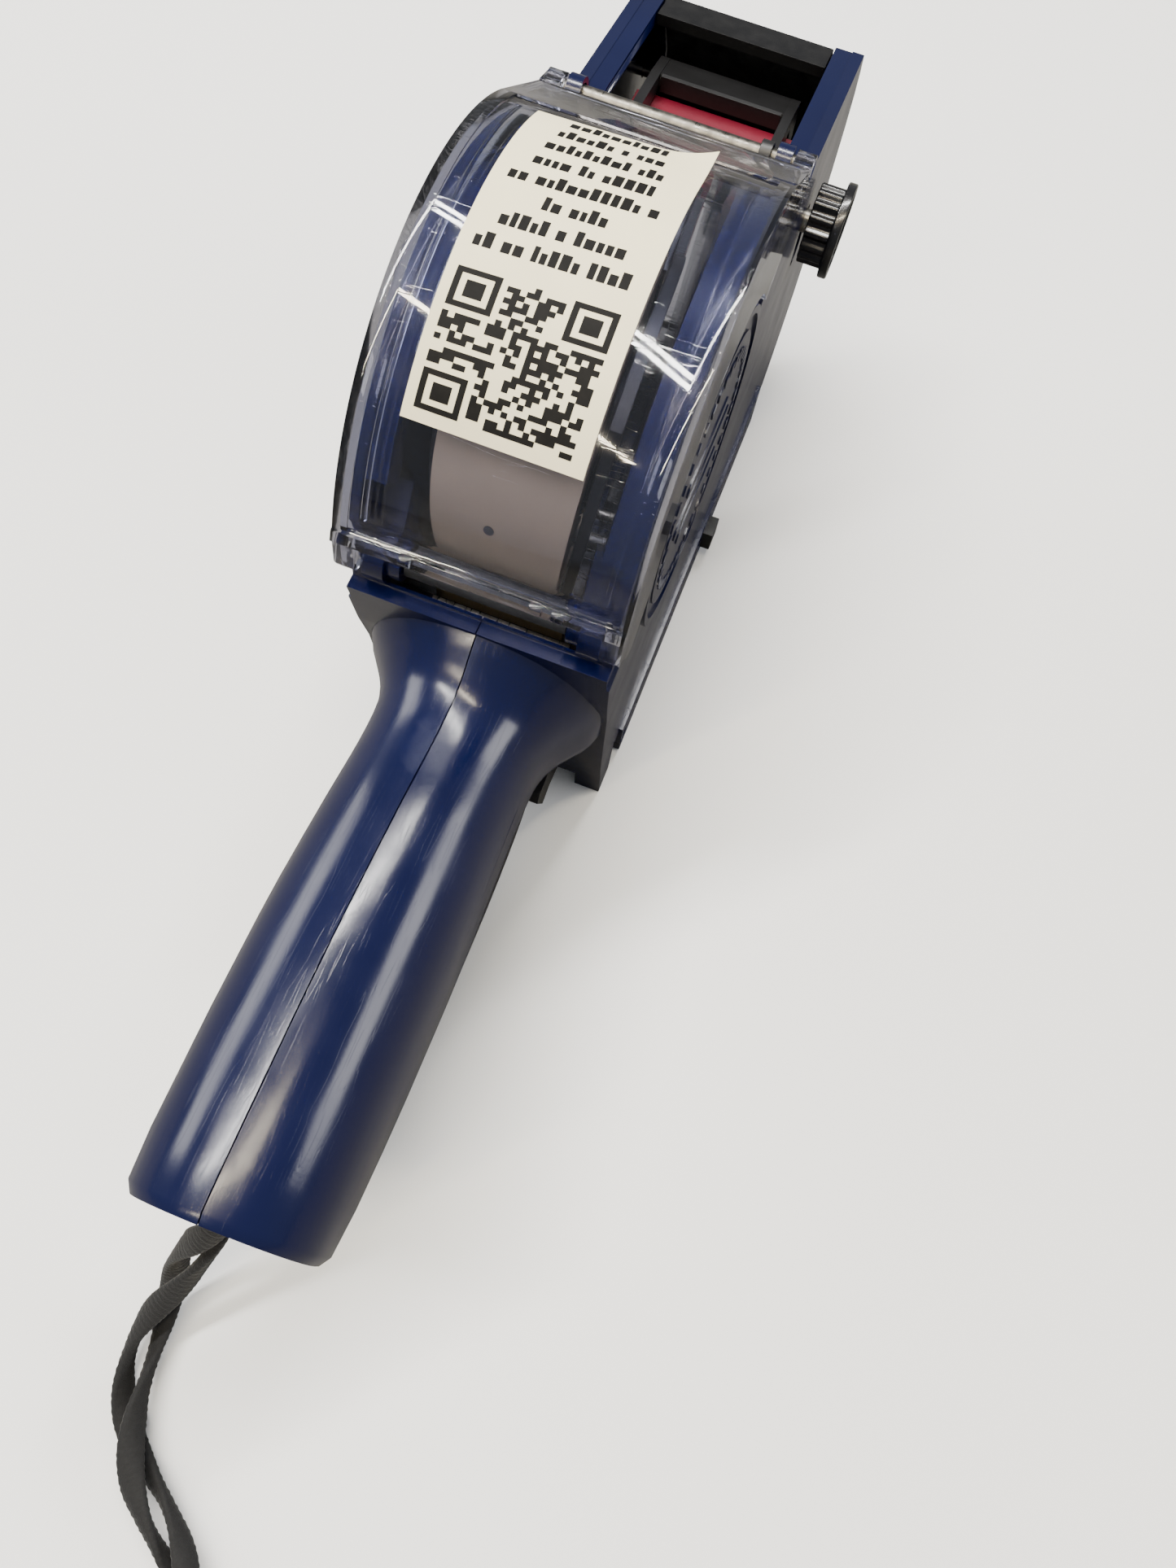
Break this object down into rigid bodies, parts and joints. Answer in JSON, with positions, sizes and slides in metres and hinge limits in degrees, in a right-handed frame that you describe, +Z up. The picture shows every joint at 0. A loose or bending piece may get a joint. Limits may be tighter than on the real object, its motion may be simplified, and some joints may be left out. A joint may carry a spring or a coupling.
{
  "type": "price labeling gun",
  "caption": "Hand-held price labeling gun: long handle with squeeze lever, clear hinged cover over a label roll, selector knob, print head, ink roller and wrist cord.",
  "frame": {"origin": "on the base cover's flat bottom face, on the gun's median plane, 48 mm in front of the base cover's hinge axis", "axes": "+X forward from the handle to the nose, +Y to the gun's left, +Z up from the base"},
  "size_m": [0.3365, 0.0541, 0.1166],
  "materials": {
    "blue_plastic": "moulded, glossy",
    "clear_plastic": "clear moulded plastic with a faint blue tint",
    "black_plastic": "fine satin",
    "gloss_black_plastic": "glossy",
    "red_plastic": "satin",
    "white_plastic": "satin",
    "steel": "worn plain steel",
    "rubber": "matt",
    "ink_felt": "ink-soaked felt",
    "cream_paper": "printed sticker",
    "label_paper": "adhesive label web",
    "cord_textile": "braided"
  },
  "bodies": {
    "casing": {"left_shell": "blue_plastic", "right_shell": "blue_plastic", "shell_screw_1": "steel", "shell_screw_2": "steel", "shell_screw_3": "steel", "shell_screw_4": "steel", "base_hinge_pin": "steel", "cover_hinge_shaft": "steel", "hinge_collar": "black_plastic", "roll_cheek_left": "black_plastic", "roll_cheek_right": "black_plastic", "roll_guard": "black_plastic", "label_web": "label_paper", "guide_axle": "steel", "rear_panel": "gloss_black_plastic", "lever_pivot_pin": "steel", "lever_return_spring": "steel", "ink_arm_pin": "steel", "platen": "rubber", "peel_plate": "steel", "feed_axle": "steel", "applicator_axle": "steel", "nose_cap": "gloss_black_plastic", "lanyard": "cord_textile"},
    "cover": {"top_cover": "clear_plastic", "cover_sticker": "cream_paper"},
    "roll": {"label_roll": "label_paper", "roll_core": "black_plastic"},
    "guide": {"guide_roller": "rubber"},
    "lever": {"trigger_lever": "black_plastic"},
    "print_head": {"print_head_frame": "red_plastic", "head_pin": "steel", "digit_band_1": "rubber", "digit_band_2": "rubber", "digit_band_3": "rubber", "digit_band_4": "rubber", "digit_band_5": "rubber", "digit_band_6": "rubber", "digit_band_7": "rubber", "digit_band_8": "rubber"},
    "wheel_1": {"digit_wheel_1": "white_plastic"},
    "wheel_2": {"digit_wheel_2": "white_plastic"},
    "wheel_3": {"digit_wheel_3": "white_plastic"},
    "wheel_4": {"digit_wheel_4": "white_plastic"},
    "wheel_5": {"digit_wheel_5": "white_plastic"},
    "wheel_6": {"digit_wheel_6": "white_plastic"},
    "wheel_7": {"digit_wheel_7": "white_plastic"},
    "wheel_8": {"digit_wheel_8": "white_plastic"},
    "selector": {"band_pointer": "white_plastic"},
    "knob": {"digit_knob": "gloss_black_plastic", "selector_shaft": "steel"},
    "ink_arm": {"ink_roller_arm": "black_plastic", "ink_roller_axle": "steel"},
    "inker": {"ink_roller": "ink_felt"},
    "feeder": {"feed_wheel": "white_plastic"},
    "pawl": {"feed_pawl": "steel"},
    "applicator": {"applicator_roller": "rubber"},
    "base": {"base_cover": "blue_plastic"},
    "latch_left": {"base_latch_left": "black_plastic"},
    "latch_right": {"base_latch_right": "black_plastic"}
  },
  "joints": [
    {"name": "cover_open", "type": "hinge", "parent": "casing", "child": "cover", "pos_m": [0.0135, 0, 0.097], "axis": [0, 1, 0], "range_deg": [0, 100]},
    {"name": "roll_spin", "type": "hinge", "parent": "casing", "child": "roll", "pos_m": [-0.037, 0, 0.084], "axis": [0, 1, 0], "continuous": true},
    {"name": "guide_spin", "type": "hinge", "parent": "casing", "child": "guide", "pos_m": [-0.0661, 0, 0.0766], "axis": [0, 1, 0], "continuous": true},
    {"name": "trigger_squeeze", "type": "hinge", "parent": "casing", "child": "lever", "pos_m": [-0.022, 0, 0.03], "axis": [0, 1, 0], "range_deg": [0, 6.5], "stiffness_Nm_per_rad": 2, "springref_deg": -5.73, "deforming": ["lever_return_spring"]},
    {"name": "print_head_stroke", "type": "slide", "parent": "casing", "child": "print_head", "axis": [0, 0, -1], "range_m": [0, 0.0068]},
    {"name": "digit_wheel_spin_1", "type": "hinge", "parent": "print_head", "child": "wheel_1", "pos_m": [0.036, 0, 0.068], "axis": [0, 1, 0], "continuous": true},
    {"name": "digit_wheel_spin_2", "type": "hinge", "parent": "print_head", "child": "wheel_2", "pos_m": [0.036, 0, 0.068], "axis": [0, 1, 0], "continuous": true},
    {"name": "digit_wheel_spin_3", "type": "hinge", "parent": "print_head", "child": "wheel_3", "pos_m": [0.036, 0, 0.068], "axis": [0, 1, 0], "continuous": true},
    {"name": "digit_wheel_spin_4", "type": "hinge", "parent": "print_head", "child": "wheel_4", "pos_m": [0.036, 0, 0.068], "axis": [0, 1, 0], "continuous": true},
    {"name": "digit_wheel_spin_5", "type": "hinge", "parent": "print_head", "child": "wheel_5", "pos_m": [0.036, 0, 0.068], "axis": [0, 1, 0], "continuous": true},
    {"name": "digit_wheel_spin_6", "type": "hinge", "parent": "print_head", "child": "wheel_6", "pos_m": [0.036, 0, 0.068], "axis": [0, 1, 0], "continuous": true},
    {"name": "digit_wheel_spin_7", "type": "hinge", "parent": "print_head", "child": "wheel_7", "pos_m": [0.036, 0, 0.068], "axis": [0, 1, 0], "continuous": true},
    {"name": "digit_wheel_spin_8", "type": "hinge", "parent": "print_head", "child": "wheel_8", "pos_m": [0.036, 0, 0.068], "axis": [0, 1, 0], "continuous": true},
    {"name": "knob_pull", "type": "slide", "parent": "print_head", "child": "selector", "axis": [0, -1, 0], "range_m": [0, 0.0182]},
    {"name": "knob_spin", "type": "hinge", "parent": "selector", "child": "knob", "pos_m": [0.036, 0, 0.068], "axis": [0, 1, 0], "continuous": true},
    {"name": "ink_arm_swing", "type": "hinge", "parent": "casing", "child": "ink_arm", "pos_m": [0.031, 0, 0.0795], "axis": [0, -1, 0], "range_deg": [0, 6]},
    {"name": "ink_roller_spin", "type": "hinge", "parent": "ink_arm", "child": "inker", "pos_m": [0.0476, 0, 0.0262], "axis": [0, 1, 0], "continuous": true},
    {"name": "feed_spin", "type": "hinge", "parent": "casing", "child": "feeder", "pos_m": [0.014, 0, 0.0116], "axis": [0, 1, 0], "continuous": true},
    {"name": "pawl_lift", "type": "hinge", "parent": "casing", "child": "pawl", "pos_m": [-0.0046, 0, 0.0145], "axis": [0, -1, 0], "range_deg": [0, 8], "stiffness_Nm_per_rad": 0.02, "springref_deg": -5.73},
    {"name": "applicator_spin", "type": "hinge", "parent": "casing", "child": "applicator", "pos_m": [0.058, 0, 0.0082], "axis": [0, 1, 0], "continuous": true},
    {"name": "base_open", "type": "hinge", "parent": "casing", "child": "base", "pos_m": [-0.048, 0, 0.0052], "axis": [0, 1, 0], "range_deg": [0, 60]},
    {"name": "latch_left_press", "type": "slide", "parent": "base", "child": "latch_left", "axis": [0, -1, 0], "range_m": [0, 0.0024], "stiffness_N_per_m": 300, "springref_m": -0.002},
    {"name": "latch_right_press", "type": "slide", "parent": "base", "child": "latch_right", "axis": [0, 1, 0], "range_m": [0, 0.0024], "stiffness_N_per_m": 300, "springref_m": -0.002}
  ],
  "couplings": [
    {"joint": "print_head_stroke", "follows": "trigger_squeeze", "m_per_rad": 0.0595},
    {"joint": "ink_arm_swing", "follows": "trigger_squeeze", "ratio": 0.923}
  ]
}
